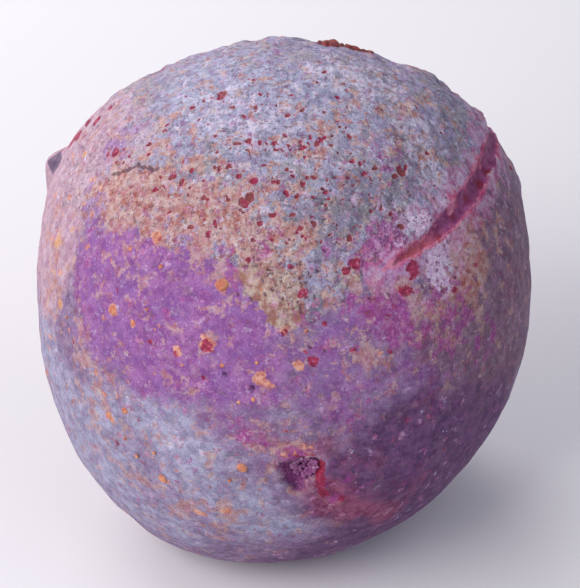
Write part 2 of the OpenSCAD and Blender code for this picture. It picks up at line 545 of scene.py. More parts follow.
def spotted(points, spots, soft=0.7):
    """1 in the middle of each spot and 0 outside it. A spot is turn, lift, radius in mm, and strength."""
    total = np.zeros(len(points))
    for turn, lift, radius_mm, strength in spots:
        spot = place(turn, lift)
        close = np.abs(points - spot).max(axis=1) < radius_mm * MM
        total[close] = np.maximum(total[close], strength * near(points[close], spot, radius_mm, soft))
    return total


def patched(points, patches):
    """Soft patches that add up, to at most 1. They fade to nothing at about twice their radius."""
    total = np.zeros(len(points))
    for turn, lift, radius_mm, strength in patches:
        away = np.linalg.norm(points - place(turn, lift), axis=1) / MM / radius_mm
        total += strength * np.exp(-away ** 2)
    return np.minimum(total, 1)


def scattered(count, turns, lifts, radii, seed, strength=1.0):
    """Random spots in a window of turn and lift, most of them small."""
    draw = np.random.default_rng(seed)
    sizes = radii[0] + (radii[1] - radii[0]) * draw.random(count) ** 3
    return [(draw.uniform(*turns), draw.uniform(*lifts), r, strength) for r in sizes]


# %% [markdown]
# ## Where the stains and the painted shade are
#
# Minerals and dye have stained the rind and the crust alike, so both read the same patches. The shade
# patches are painted shade, and the plum patches are a plum stain darkened by painted shade. Each patch has
# a place (turn, lift), a radius in mm and a strength.

# %% The large stains and painted shade, by place
PATCHES = {
    "violet": [
        (56, 33, 7, 0.8), (46, 37, 8, 0.9), (34, 39, 8, 1), (23, 37, 8, 1), (13, 31, 8, 0.9),
        (47, 26, 8, 0.9), (33, 26, 9, 0.9), (19, 24, 8, 0.8), (4, 24, 7, 0.6), (-10, 30, 5, 0.6),
        (-22, 35, 5, 0.6), (-12, 20, 7, 0.45), (-26, 46, 4, 0.6), (-33, 41, 4, 0.6), (-15, 49, 4, 0.5),
        (9, 38, 3.5, 0.7), (79, 53, 4.2, 1), (68, 42, 4.2, 1), (-30, 22, 9, 0.5), (-40, 12, 10, 0.35),
        (-30, -8, 7, 0.5), (-36, -20, 7, 0.3), (-2, -30, 8, 0.3), (30, 18, 8, 0.4), (10, 14, 7, 0.4),
        (48, 16, 6, 0.3), (40, 47, 3, 0.4), (-12, 12, 7, 0.4),
    ],
    "blue": [
        (62, -4, 10, 0.9), (52, -16, 11, 0.9), (72, 6, 8, 0.7), (40, -8, 9, 0.6), (26, 6, 7, 0.9),
        (16, 3, 6, 0.7), (36, -28, 10, 0.6), (20, -8, 8, 0.7), (6, -8, 6, 0.7), (6, -18, 7, 0.7),
        (24, -26, 8, 0.5), (-75, 10, 10, 0.3), (-74, -10, 9, 0.5), (-66, -24, 8, 0.5),
        (-2, -18, 4, 0.6), (30, 12, 6, 0.5), (-88, 20, 7, 0.4), (0, 14, 5, 0.4), (44, 6, 7, 0.6),
        (60, 76, 10, 0.8), (84, 70, 8, 0.6), (20, 80, 10, 0.7), (-60, 82, 10, 0.7), (110, 74, 9, 0.6),
        (-40, 72, 8, 0.4), (-90, 70, 8, 0.4),
    ],
    "rose": [
        (95, 40, 12, 1), (80, 32, 9, 0.9), (104, 30, 9, 1), (76, 22, 8, 0.8), (96, 50, 8, 0.6),
        (70, 14, 6, 0.5), (84, 42, 8, 0.7), (90, 12, 10, 0.8), (110, 10, 12, 0.7), (-104, 28, 6, 0.6),
        (66, 28, 5, 0.4), (68, 56, 6, 0.5), (64, 45, 5, 0.5), (-90, 38, 6, 0.3), (-14, -14, 5, 0.5),
    ],
    "tan": [
        (58, 47, 6, 0.75), (46, 50, 7, 0.75), (34, 52, 6, 0.6), (24, 51, 6, 0.6), (14, 51, 6, 0.5),
        (68, 50, 7, 0.5), (54, 57, 6, 0.45), (4, 46, 5, 0.6), (-2, 52, 6, 0.4), (12, 60, 6, 0.3),
        (34, 61, 6, 0.35), (-10, 57, 5, 0.35), (-20, 41, 5, 0.5), (-28, 36, 5, 0.5), (-44, 33, 5, 0.55),
        (-54, 32, 5, 0.6), (-18, 26, 4, 0.6), (34, -11, 5, 0.55), (20, -17, 5, 0.6), (12, -16, 5, 0.55),
        (46, 3, 5, 0.6), (5, 7, 4, 0.45), (-4, 8, 4, 0.5), (-12, 7, 3, 0.3), (78, 26, 6, 0.6),
        (67, 16, 5, 0.6), (50, 14, 5, 0.4), (-10, 72, 7, 0.4), (-70, 68, 9, 0.4), (100, 50, 8, 0.3),
        (-36, 30, 6, 0.35), (-60, 41, 4, 0.8), (-57, 35, 5, 0.8), (-51, 33, 4, 0.8),
    ],
    "mauve": [
        (-50, 28, 8, 0.8), (-66, 30, 10, 0.9), (-76, 18, 10, 0.8), (-80, 38, 9, 0.8),
        (-60, 12, 10, 0.8), (-36, 22, 8, 0.6), (-94, 26, 9, 0.7), (-90, 10, 10, 0.6), (-70, 0, 8, 0.6),
        (-48, 14, 8, 0.7),
    ],
    # Painted shade: these patches on the lower -X side are a real plum stain, made darker to stand for the
    # shade there.
    "plum": [
        (-20, 2, 7, 0.8), (-28, -5, 9, 1), (-16, -8, 6, 1), (-11, -2, 4, 0.7), (-20, -17, 7, 1),
        (-42, -2, 11, 0.9), (-50, -14, 11, 0.9), (-28, -26, 9, 0.8), (-40, -32, 12, 0.9),
        (-30, 10, 8, 0.6), (-58, 0, 9, 0.7), (-12, 12, 6, 0.4), (-9, -12, 3.5, 0.7), (-64, -20, 8, 0.7),
        (-14, -34, 9, 0.7), (2, -42, 9, 0.6),
    ],
    "magenta": [
        (-27, 47, 4, 0.8), (-33, 43, 3.5, 0.7), (-14, 47, 3, 0.6), (-20, 36, 4, 0.7), (18, 46, 3, 0.5),
        (12, 43, 3, 0.5), (8, 10, 3, 0.7), (-12, -6, 4, 0.4), (-24, -10, 5, 0.25), (-6, 36, 3, 0.5),
        (5, 50, 3, 0.4), (-28, 31, 5, 0.8), (-42, 25, 6, 0.7), (62, 36, 3, 0.5), (-35, 49, 3, 0.7),
        (-1, 6, 4, 0.6), (-52, 16, 6, 0.4), (-45, 34, 4, 0.5), (-18, 16, 5, 0.4), (-40, 60, 4, 0.3),
        (30, 31, 4, 0.3), (-50, 62, 4, 0.3),
    ],
    "shade": [
        (-38, 55, 6, 0.8), (-28, 61, 5, 0.6), (-50, 57, 4, 0.6), (-20, 53, 5, 0.7), (0, 59, 5, 0.5),
        (-60, 62, 5, 0.4), (-8, 53, 5, 0.5), (-80, 58, 6, 0.4), (-70, 50, 5, 0.5), (-90, 50, 6, 0.3),
        (30, 68, 7, 0.4), (-20, 78, 9, 0.3),
    ],
    "white": [
        (-45, 45, 3, 0.8), (-41, 50, 3, 0.7), (-50, 38, 4, 1), (-55, 42, 3.5, 1), (-46, 35, 3, 0.7),
        (-61, 46, 3, 0.7), (20, 68, 5, 0.25), (45, 74, 7, 0.4), (-8, 68, 5, 0.35), (-36, 66, 5, 0.45),
        (10, 76, 7, 0.35), (-58, 52, 5, 0.6), (-72, 62, 6, 0.6), (24, 4, 4, 0.5), (-90, 80, 9, 0.5),
        (26, 60, 4, 0.3), (-100, 70, 8, 0.4), (10, 56, 3, 0.3), (80, 74, 8, 0.3),
    ],
    "bright": [
        (-45, 38.5, 2.6, 0.9), (-49, 42, 2.2, 0.8), (-42, 36, 2.4, 0.7), (-44, 48, 2.6, 0.8),
        (-38, 53, 2.6, 0.6), (-34, 46, 2.2, 0.5),
    ],
    "blush": [
        (-6.5, -4, 3.2, 0.9), (-9, -8, 4, 0.9), (-14, -13, 4.5, 0.8), (-20, -18, 4.5, 0.6),
        (-26, -24, 4, 0.8), (2, 8, 3, 0.7), (-3, 6, 3, 0.8), (7, 11, 3, 0.5), (-9, 6, 4, 0.5),
        (-18, 0, 6, 0.35), (-30, -12, 7, 0.4), (-33, 12, 6, 0.35), (-22, 30, 5, 0.4), (-36, 27, 5, 0.5),
        (-60, 39, 4, 0.7), (-50, 33, 3.5, 0.8), (-66, 18, 8, 0.35), (112, 30, 5, 0.6),
        (116, 38, 5, 0.7), (120, 46, 5, 0.6), (124, 56, 5, 0.5), (-113, 28, 2.5, 0.8),
        (-116, 36, 2.5, 0.8), (-119, 46, 3, 0.9), (-123, 56, 3, 0.8), (100, 22, 4, 0.5),
    ],
    "beige": [
        (3, 42, 4.2, 1), (-3, 39, 3, 0.7), (9, 44, 3, 0.6), (1, 36, 2.5, 0.6), (-20, 44, 3, 0.5),
        (-26, 38, 3, 0.4),
    ],
}
print(len(PATCHES), "stains, made of", sum(len(patches) for patches in PATCHES.values()), "patches")

# %% Spots of red, peach and ochre
RED_SPOTS = [
    (18, 28.7, 1.8, 1), (25, 25, 1.1, 1), (32, 26, 1.0, 0.8), (0, 33, 1.1, 1), (-9.6, 34, 1.1, 0.9),
    (-5, 40.6, 1.3, 1), (-6.5, 26.8, 1.7, 1), (-16, 28, 1.1, 0.9), (-7.4, 1.8, 1.7, 1),
    (-7.6, 0, 1.8, 1), (-7.6, -2, 1.7, 1), (-7.7, -4, 1.6, 1), (-8.1, -6, 1.6, 0.9),
    (-8.7, -8, 1.6, 0.9), (-13, -10, 2.0, 0.5), (5, 6, 1.0, 0.6), (-3, 5, 1.6, 0.6),
    (-36, 40, 2.4, 0.9), (-32, 37, 2.0, 0.75), (-39, 43, 1.6, 0.9), (104, 35.5, 2.8, 1),
    (101.5, 40, 2.0, 0.9), (103.5, 43, 1.6, 0.9), (99.5, 47, 1.8, 0.8), (102.5, 50, 1.0, 0.7),
    (97, 43, 0.9, 0.8), (-105, 27, 1.0, 0.9), (77, 52, 1.7, 0.9), (79, 50, 1.0, 0.8),
    (73, 51, 0.8, 0.8), (75, 54, 1.0, 0.8), (-2, 46, 1.0, 0.8), (10, 47, 0.9, 0.8), (24, 50, 0.9, 0.9),
    (-26, 33, 1.0, 0.7), (-46, 32, 0.9, 0.9), (-56, 33, 0.8, 0.8), (4, 51, 0.9, 0.7),
    (38, 46, 0.8, 0.7), (-33, 12, 1.0, 0.5), (-27, 8, 1.2, 0.5), (-20, 45, 1.7, 0.8),
    (-17, 44, 1.3, 0.8),
]
RED_SPOTS += scattered(60, (-60, 60), (-5, 40), (0.3, 0.8), 41, 0.8)
RED_SPOTS += scattered(34, (-60, -5), (-30, 20), (0.3, 0.8), 43, 0.55)
PEACH_SPOTS = [
    (5.4, 23.3, 2.1, 1), (3, 22, 1.4, 0.8), (-3.4, 26, 1.6, 1), (-14, 28, 1.6, 0.5),
    (39.6, 46, 1.9, 0.9), (37.7, 27.7, 1.1, 0.9), (18, 29, 2.8, 0.75), (0, 33.5, 2.0, 0.6),
    (26, -8, 1.6, 0.7), (19, -16, 1.8, 0.8), (12.8, -13.3, 2.0, 0.8), (40, 2.6, 1.3, 0.8),
    (45.8, 11.8, 0.9, 0.9), (42.8, 7.8, 0.9, 0.9), (44.4, 28, 2.2, 0.7), (16.3, 41, 1.5, 0.8),
    (25, 26, 1.8, 0.7), (-22, 26, 1.2, 0.7), (9, 0.5, 1.0, 0.9), (48, 30, 1.2, 0.5),
    (-40, 30, 1.4, 0.6), (30, 19, 1.0, 0.6), (22, 17, 0.9, 0.5), (-30, 26, 1.0, 0.6),
    (-36, 20, 1.2, 0.5), (0, 5, 1.5, 0.6), (-4, 7, 1.5, 0.6),
]
PEACH_SPOTS += scattered(60, (-8, 62), (-22, 44), (0.3, 1.0), 42, 0.85)
PEACH_SPOTS += scattered(16, (-60, -8), (-20, 40), (0.3, 0.8), 45, 0.6)
PEACH_SPOTS += scattered(50, (60, 105), (-10, 48), (0.6, 2.0), 44, 0.6)
OCHRE_SPOTS = [
    (76, 27, 2.8, 1), (65, 17.5, 2.4, 1), (72, 32, 1.6, 0.7), (9, 0.6, 0.8, 1), (70, 22, 1.6, 0.6),
    (-47, 31, 1.4, 0.7), (-55, 30, 1.2, 0.6), (88, 44, 1.6, 0.5), (80, 30, 1.6, 0.6),
]
print(len(RED_SPOTS), "red,", len(PEACH_SPOTS), "peach and", len(OCHRE_SPOTS), "ochre spots")

# %% [markdown]
# ## Pits, pinholes and the hairline
#
# Red dye has gathered in the pits of the crust. The few large pits are placed one by one, and the many
# small ones are scattered. The hairline is a row of pinholes so close that they run together; their sizes
# and places vary a little, so that it looks torn and not drawn.

# %% Pits, pinholes and the hairline
PITS = [
    (72, 77, 1.4, 1), (69, 76.5, 1.1, 1), (72, 70.5, 0.9, 1), (60, 70, 0.6, 1), (13.5, 59, 1.3, 1),
    (14.5, 57.9, 1.1, 1), (-50, 58.3, 1.5, 1), (-46, 58, 0.8, 1), (-40.6, 61.8, 0.9, 1),
    (19.2, 62.7, 0.8, 1), (12.5, 62.3, 1.0, 1), (46.5, 58, 1.1, 1), (49, 54.2, 0.8, 0.9),
    (67, 59, 1.0, 0.8), (63, 58, 0.8, 0.8), (-36, 52, 0.8, 1), (-38, 49, 0.9, 1), (-20, 50, 0.8, 0.9),
    (-16, 60, 0.9, 0.8), (-5, 60, 0.9, 0.8), (0, 73, 0.7, 0.9), (-60, 78, 0.8, 0.9), (35, 76, 0.7, 0.9),
    (-100, 82, 0.8, 0.9), (4, 56, 1.0, 0.9), (-3, 56, 0.8, 0.8), (-53, 38, 0.8, 1), (-50, 41, 0.7, 1),
    (-56, 40, 0.7, 0.9), (-49, 36, 0.7, 0.9),
]
PITS += scattered(170, (-88, 88), (50, 84), (0.35, 0.75), 51, 0.8)
PITS += scattered(110, (-40, 45), (50, 70), (0.35, 0.9), 52, 0.9)
PITS += scattered(34, (-43, 22), (69.5, 72), (0.4, 1.0), 55, 0.8)
PINHOLES = scattered(60, (-8, 14), (36, 48), (0.3, 0.45), 53, 1.0)
PINHOLES += scattered(130, (-60, 0), (28, 62), (0.3, 0.5), 54)

HAIRLINE_TURNS, HAIRLINE_LIFT = (54, 70.5), 50
draw = np.random.default_rng(58)
for turn in np.arange(*HAIRLINE_TURNS, 0.5):
    lift = HAIRLINE_LIFT + 0.5 * (HAIRLINE_TURNS[1] - turn) + 0.9 * math.sin(0.43 * turn)
    lift += draw.uniform(-0.3, 0.3)
    PINHOLES.append((turn, lift, draw.choice([0.3, 0.45, 0.7], p=[0.4, 0.4, 0.2]), 1))
print(len(PITS), "pits and", len(PINHOLES), "pinholes")


# %% Every stain's strength, and where painted shade goes, stored in a piece
def stains_and_shade(piece, points):
    """Stores at each corner of the piece every patch's and spot's strength, painted shade included."""
    torn = ragged(ragged(points, 5, 1.6, 20), 1.6, 0.6, 30)
    frayed = ragged(points, 1.2, 0.35, 80)
    for name, patches in PATCHES.items():
        carry(piece, name, patched(torn, patches))
    carry(piece, "red", spotted(frayed, RED_SPOTS))
    carry(piece, "peach", spotted(frayed, PEACH_SPOTS))
    carry(piece, "ochre", spotted(torn, OCHRE_SPOTS))
    across, along, half = crack_coordinates(torn)
    beside = np.maximum(np.abs(across) - half, 0)
    upper = points[:, 2] > CRACK_ABOVE
    for name, past_foot, reach in (("lips", 3, 1.0), ("seep", 5, 4.5)):
        by_the_crack = upper & (along > -CRACK_FOOT - past_foot)
        carry(piece, name, np.where(by_the_crack, np.exp(-(beside / reach) ** 2), 0))
    # The nub's broken side, where painted shade goes.
    carry(piece, "broken_side_shade", nub_ridge(points)[1])


# %% [markdown]
# ## The finish of the weathered skin
#
# One recipe serves the rind and the crust. It works like painting in thin coats: each coat is a mask and a
# tone, and it covers the colour below it where the mask is 1. The ground is broken up by mottling at four
# sizes, the stains lie over it with torn edges, then come specks, spots and pits. Some coats are painted
# shade: the shade and plum patches, the hollow's deep walls and the nub's broken side. The crust is paler,
# drier and more granular than the rind.

# %% A skin that is painted coat by coat
class Skin(Stone):
    """The material of the rind or the crust. Its colour is painted over, coat by coat."""

    def __init__(self, name, crusted):
        super().__init__(name, Roughness=0.85, Specular_IOR_Level=0.2)
        self.crusted = crusted
        self.broad, self.mottle = self.noise(7, 3), self.noise(2.4, 5, 0.68)
        self.small, self.fine = self.noise(0.9, 3, 0.7), self.noise(0.36, 2, 0.65)

    def either(self, on_crust, on_rind):
        """One recipe, two strengths."""
        return on_crust if self.crusted else on_rind

    def torn(self, mask, tearing, seed, size_mm=2.8, soft=0.1):
        """A stain whose edge is torn into islands and gaps; 0 tearing leaves it whole."""
        own = self.noise(size_mm, 5, 0.72, (seed, 0.3 * seed, 0.7 * seed))
        return (self.mask(mask) + (own - 0.5) * (5 * tearing)).step(0.5 - soft, 0.5 + soft)

    def speck(self, size_mm, seed, low, high=0.66):
        """Random specks of about a size. The higher low is, the fewer there are."""
        return self.noise(size_mm, 4, 0.68, (0.2 * seed, seed, 0.6 * seed)).step(low, high)

    def two(self, first, second, scale=None):
        """Two tones of one stain, mixed by the middling mottling, or by another scale of it."""
        return self.mix((scale or self.mottle).step(0.38, 0.62), srgb(*first), srgb(*second))

    def paint(self, mask, tone):
        """Lays one more coat where the mask is above 0."""
        self.colour = self.mix(mask, self.colour, tone)


# %% The ground colour
def lay_ground(skin):
    """The colour under all stains. calm is how strong the pale specks are: few show on the dark purple zone,
    which is partly painted shade.
    """
    if skin.crusted:
        skin.colour = skin.mix(skin.mottle.step(0.38, 0.6), srgb(124, 120, 142), srgb(172, 170, 198))
        skin.paint(skin.broad.step(0.4, 0.6) * 0.5, srgb(160, 148, 190))
        skin.paint(skin.speck(5.0, 2.9, 0.48, 0.6) * 0.6, srgb(158, 152, 154))
        skin.calm = 1.0
    else:
        skin.colour = skin.mix(skin.mottle.step(0.36, 0.64), srgb(118, 94, 130), srgb(150, 128, 164))
        skin.paint(skin.broad.step(0.42, 0.66) * 0.4, srgb(140, 112, 152))
        skin.calm = 1.0 - skin.mask("plum").at_most(1.0) * 0.85


# %% The large stains, and the painted shade
def violet_tone(skin):
    if skin.crusted:
        return skin.two((148, 102, 162), (172, 138, 186))
    reddish = skin.two((134, 72, 144), (160, 102, 167))
    return skin.mix(skin.broad.step(0.44, 0.58) * 0.5, reddish, srgb(130, 88, 158))


def lay_stains_and_shade(skin):
    torn, two, paint, either = skin.torn, skin.two, skin.paint, skin.either
    paint(torn("blue", 0.3, 1.1, 4.0, 0.4) * 0.85, two((142, 141, 172), (175, 177, 204)))
    paint(torn("rose", 0.45, 1.5, 4.0, 0.42) * 0.85, two((180, 144, 162), (202, 172, 186)))
    violet = torn("violet", either(0.5, 0.3), 2.1, 3.5, either(0.2, 0.3))
    paint(violet * either(0.75, 0.92), violet_tone(skin))
    # Painted shade: the plum coat is the stone's own plum, darkened to stand for the shade on the lower -X
    # side.
    paint(torn("plum", 0.2, 1.3, 4.0, 0.3) * either(0.35, 0.85), two((80, 45, 90), (106, 66, 112)))
    paint(torn("mauve", 0.35, 1.4, 4.0, 0.42) * either(0.3, 0.75), two((106, 76, 96), (134, 102, 118)))
    paint(torn("white", 0.6, 1.7) * 0.8, two((196, 186, 214), (214, 206, 228), skin.small))
    paint(torn("shade", 0.5, 1.9) * 0.4, srgb(100, 94, 102))
    paint(torn("blush", 0.3, 2.0, 3.0, 0.35) * 0.6, two((134, 38, 78), (176, 92, 116)))
    tan = two((178, 112, 96), (204, 170, 160), skin.noise(1.8, 4, 0.6, (5.1, 0.4, 2.2)))
    paint(torn("tan", 1.15, 2.3, 3.4) * either(0.8, 0.6) * skin.calm, tan)
    rust = skin.mask("tan").at_most(1.0) + (skin.noise(2.2, 5, 0.7, (2.2, 5.3, 0.9)) - 0.5) * 6.0
    paint(rust.step(1.2, 1.5) * 0.7, two((140, 60, 60), (172, 92, 72), skin.small))
    paint(torn("beige", 0.35, 2.5), two((150, 104, 92), (192, 172, 162)))
    paint(torn("magenta", 0.6, 2.7) * 0.75, two((142, 48, 128), (168, 78, 150), skin.small))


# %% Specks all over the skin
def lay_specks(skin):
    speck, paint, either, calm = skin.speck, skin.paint, skin.either, skin.calm
    paint(speck(2.6, 3.1, 0.56, 0.64) * either(0.5, 0.2) * calm, srgb(194, 164, 152))
    paint(speck(1.9, 3.3, 0.57, 0.63) * either(0.45, 0.35), srgb(150, 84, 148))
    paint(speck(1.5, 3.5, 0.58, 0.64) * either(0.5, 0.3) * calm, srgb(90, 80, 98))
    paint(speck(1.2, 3.7, 0.59, 0.65) * either(0.6, 0.25) * calm, srgb(208, 206, 222))
    paint(speck(1.2, 3.9, either(0.59, 0.61)) * 0.65 * calm, srgb(142, 70, 72))
    if skin.crusted:
        paint(speck(0.8, 7.3, 0.56, 0.63) * 0.5, srgb(84, 70, 90))


# %% Spots, pits, the crack's lips and the hollow
def lay_spots(skin):
    torn, two, paint = skin.torn, skin.two, skin.paint
    paint(torn("seep", 0.8, 4.1) * 0.55, two((184, 84, 142), (210, 176, 210)))
    bright = skin.mask("bright").step(0.1, 0.4)
    paint(torn("bright", 0.6, 4.2, 1.5) * bright * 0.85, two((202, 168, 208), (222, 206, 230), skin.small))
    paint(skin.speck(1.0, 6.1, 0.54, 0.62) * bright * 0.8, srgb(112, 44, 84))
    paint(torn("peach", 0.25, 4.3, 1.2) * 0.9, two((194, 112, 94), (222, 166, 138), skin.small))
    paint(torn("ochre", 0.3, 4.5) * 0.8, srgb(208, 156, 102))
    paint(torn("red", 0.42, 4.7, 1.6) * 0.95, two((130, 26, 62), (168, 48, 84), skin.small))
    paint(torn("lips", 0.55, 4.9, 2.0, 0.3) * 0.9, two((176, 60, 108), (206, 122, 150)))
    pit, mottle = skin.mask("pit"), skin.mottle
    paint(pit.step(0.02, 0.2) * mottle.step(0.42, 0.6) * 0.55, srgb(206, 176, 196))
    pit_tone = skin.mix(mottle.step(0.44, 0.56), srgb(158, 32, 74), srgb(134, 62, 60))
    paint((pit + (skin.small - 0.5) * 1.3).step(0.3, 0.5) * 0.95, pit_tone)
    paint(skin.mask("pinhole").step(0.3, 0.6) * 0.7, srgb(84, 48, 62))
    # Painted shade in the hollow: its walls darken with depth, over their own magenta-purple and red.
    hollow = skin.mix(torn("red", 0.4, 5.7, 1.2), two((80, 32, 80), (124, 52, 108)), srgb(158, 24, 60))
    paint(skin.mask("hollow_depth_shade"), hollow)
    # Painted shade on the nub's broken side: the facet's own grey-purple, darkened to stand for shadow.
    paint(skin.mask("broken_side_shade").step(0.3, 0.7), two((96, 78, 108), (122, 98, 122)))


# %% The weathered skin's material
def weathered(name, crusted):
    skin = Skin(name, crusted)
    for coat in (lay_ground, lay_stains_and_shade, lay_specks, lay_spots):
        coat(skin)
    speckle = skin.fine * 0.55 + skin.small * 0.45
    skin.paint((1.0 - speckle.step(0.38, 0.5)) * skin.either(0.3, 0.22), srgb(78, 60, 84))
    skin.paint(speckle.step(0.52, 0.64) * skin.either(0.24, 0.15) * skin.calm, srgb(218, 208, 226))
    height = skin.mottle * 0.5 + skin.small * 0.6 + skin.fine * skin.either(0.6, 0.4)
    print(name, "has", len(skin.tree.nodes), "nodes")
    return skin.finish(skin.colour, roughness=skin.small * 0.3 + skin.either(0.7, 0.6), height=height,
                       height_mm=skin.either(0.3, 0.2))


# %% [markdown]
# ## The rind
#
# The rind is the nodule's outer skin. It is made as a ball moved out to the skin, with an inner ball turned
# inside out as its inner wall; the saw then cuts both and closes the wall between them. Lumps, dimples, the
# nub and the crack's trough change the skin's height. The hollow in the middle of the back goes deeper than
# a change of height can, so it is a group of ball-shaped bites.

# %% The rind's height
SHARES = {
    "grey": 0.09, "magenta": 0.19, "white": 0.34, "rose": 0.41, "lilac": 0.56, "hot_pink": 0.67,
    "lining": 0.74, "pocket": 1.0,
}
HOLLOW_PLACE = unit([-0.073, 0.997, 0.016])
HOLLOW_R = 3.8 * MM
HOLLOW_MIDDLE = MIDDLE + HOLLOW_PLACE * (skin_radius(HOLLOW_PLACE) + 0.35 * HOLLOW_R)
DIMPLES = [
    (10.8, 2.2, 2.2, 0.9), (36, 2, 2.2, 0.7), (52, 30, 2.0, 0.4), (6.7, 20.6, 0.7, 1.3),
    (13, 23, 0.6, 1.1), (-10, -8, 3.2, 0.5), (20, -24, 2.5, 0.4),
]
DIMPLES += scattered(50, (-70, 75), (-30, 40), (0.5, 1.6), 61, 0.5)


def carved(radius, d, centre, r):
    """The radius after a ball-shaped bite is taken out."""
    to = centre - MIDDLE
    along = d @ to
    square = along ** 2 - (to @ to - r ** 2)
    hit = (square > 0) & (along > 0)
    near_side = along - np.sqrt(np.where(hit, square, 0))
    return np.where(hit, np.minimum(radius, near_side), radius)


def rind_height(points):
    """Lumps on the bare rind, in mm. They mostly go down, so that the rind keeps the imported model's size."""
    by_the_rim = ramp(-points[:, 1] / MM, 7, 15)
    up_share = (points[:, 2] - MIDDLE[2]) / NODULE_HALF[2]
    return (0.5 * by_the_rim * (grain(points, 2.8, 65) - 0.6)
            + 0.42 * grain(points, 9, 1) + 0.16 * grain(points, 3.4, 2) + 0.07 * grain(points, 1.3, 3)
            + 0.03 * grain(points, 0.7, 4) - 0.3
            + NUB_HEIGHT * nub_ridge(points)[0] - 0.35 * ramp(up_share, 0.93, 0.99))


# %% The rind's skin, with its trough, dimples and hollow
HOLLOW_BITES = [(-0.6, 1.2, 2.4), (-2.0, -2.2, 2.6), (-3.5, -0.5, 3.0), (-6.4, 1.0, 2.4), (-2.8, -4.6, 1.8)]
HOLLOW_REACH = 7.5 * MM
UNDER_CRUST_MM, DIMPLE_MM, LIP_MM, TROUGH_MM = 1.0, 0.9, 0.25, 1.3
RIND_BACK = 0.03 * MM

rind = square_ball("rind_piece", 159)
d = corners(rind)
skin = skin_radius(d)
points = MIDDLE + skin[:, None] * d
across, along, half = crack_coordinates(points)
in_crust = crust_inside(points)
in_crack = (along > -CRACK_FOOT) & (points[:, 2] > CRACK_ABOVE)
beside = np.abs(across) - half
height = rind_height(points)
height -= UNDER_CRUST_MM * ramp(in_crust, 2.5, 4.5)
height -= DIMPLE_MM * spotted(points, DIMPLES)
lip = LIP_MM * np.exp(-((beside - 0.6) / 0.6) ** 2) * (1 + 0.5 * grain(points, 1.5, 7))
trough = TROUGH_MM * (1 - ramp(beside, -0.7, 0.1))
height += np.where(in_crack, lip - trough, 0)
uneven = HOLLOW_R * (1 + 0.22 * grain(points, 2.6, 62) + 0.1 * grain(points, 1.1, 63) - 0.04)
radius = carved(skin + height * MM, d, HOLLOW_MIDDLE, uneven)
for turn, lift, r in HOLLOW_BITES:
    bite = r * MM * (1 + 0.16 * grain(points, 1.6, 64))
    radius = carved(radius, d, place(turn, lift, 0.35 * r * MM), bite)
put(rind, MIDDLE + radius[:, None] * d)
deep = (skin + height * MM - radius) / MM
print("the hollow is", round(deep.max(), 1), "mm deep")

# %% The rind's stains and painted shade, and its inner wall
stains_and_shade(rind, points)
in_hollow = np.linalg.norm(points - HOLLOW_MIDDLE, axis=1) < HOLLOW_REACH
# Painted shade: the hollow's walls are darkened more, the deeper they lie.
carry(rind, "hollow_depth_shade", ramp(deep, 0.1, 0.7) * in_hollow)
carry(rind, "pinhole", spotted(points, PINHOLES))

inner = square_ball("rind_inner", 45)
put(inner, grown(corners(inner), SHARES["grey"]))
open_up(inner)
bpy.ops.mesh.flip_normals()
close_up()
join(rind, inner)
saw(rind, back=RIND_BACK)
settle(rind, "rind")
wear(rind, weathered("violet_rind", crusted=False))

# %% [markdown]
# ## The pale crust
#
# A thin, porous crust covers the top and the upper back. It is a flat square sheet, cut to the crust's
# outline, given thickness, and laid over the top of the nodule. Its edge dips under the rind where the
# crust ends, which gives a torn edge, and it stops at the edge of the crack. Its pits are pressed in. The
# underside is out of sight, so its squares are made larger by pulling their corners together.

# %% The crust's outline and thickness
CRUST_SIZE_MM = (118, 84)
CRUST_SPACING_MM = 0.31
CRUST_BEND_MM = 52
CRUST_TILT = math.radians(19)
CUT_AWAY_MM, PULLED_TOGETHER_MM, COARSE = -2.4, -1.0, 8
UNDERSIDE_MM = 1.08


def laid_over_top(flat):
    """Turns places on a flat sheet into directions that fan out from the nodule's top."""
    angle = flat / MM / CRUST_BEND_MM
    away = np.linalg.norm(angle[:, :2], axis=1)
    stretch = np.sinc(away / math.pi)
    x, y, z = angle[:, 0] * stretch, angle[:, 1] * stretch, np.cos(away)
    return np.stack([x, y * math.cos(CRUST_TILT) + z * math.sin(CRUST_TILT),
                     z * math.cos(CRUST_TILT) - y * math.sin(CRUST_TILT)], axis=1)


def crust_room(flat):
    """How far inside the crust's outline a place on the sheet lies, in mm."""
    d = laid_over_top(flat)
    points = MIDDLE + skin_radius(d)[:, None] * d
    return np.minimum(crust_inside(points), (points[:, 1] - FACE_Y) / MM + 4)


# %% The flat crust, cut out and given thickness
def flat_grid(name, x_steps, y_steps):
    """A square sheet of side 1, cut into that many steps."""
    deselect()
    bpy.ops.mesh.primitive_grid_add(size=1, x_subdivisions=x_steps, y_subdivisions=y_steps)
    return named(name)


crust = flat_grid("pale_crust_piece", *(round(size / CRUST_SPACING_MM) for size in CRUST_SIZE_MM))
put(crust, corners(crust) * (CRUST_SIZE_MM[0] * MM, CRUST_SIZE_MM[1] * MM, 1))
open_up(crust, "DESELECT")
close_up()
crust.data.vertices.foreach_set("select", crust_room(corners(crust)) < CUT_AWAY_MM)
bpy.ops.object.mode_set(mode="EDIT")
bpy.ops.mesh.delete(type="VERT")
open_up(crust)
bpy.ops.mesh.extrude_region_move(TRANSFORM_OT_translate={"value": (0, 0, 1)})
close_up()
flat = corners(crust)
under = flat[:, 2] < 0.5
pulled = under & (crust_room(flat) > PULLED_TOGETHER_MM)
grid_mm = CRUST_SPACING_MM * MM * COARSE
flat[pulled, :2] = np.round(flat[pulled, :2] / grid_mm) * grid_mm
put(crust, flat)
open_up(crust)
bpy.ops.mesh.remove_doubles(threshold=TOUCHING)
bpy.ops.mesh.normals_make_consistent(inside=False)
close_up()
print("the flat crust has", len(crust.data.vertices), "corners")

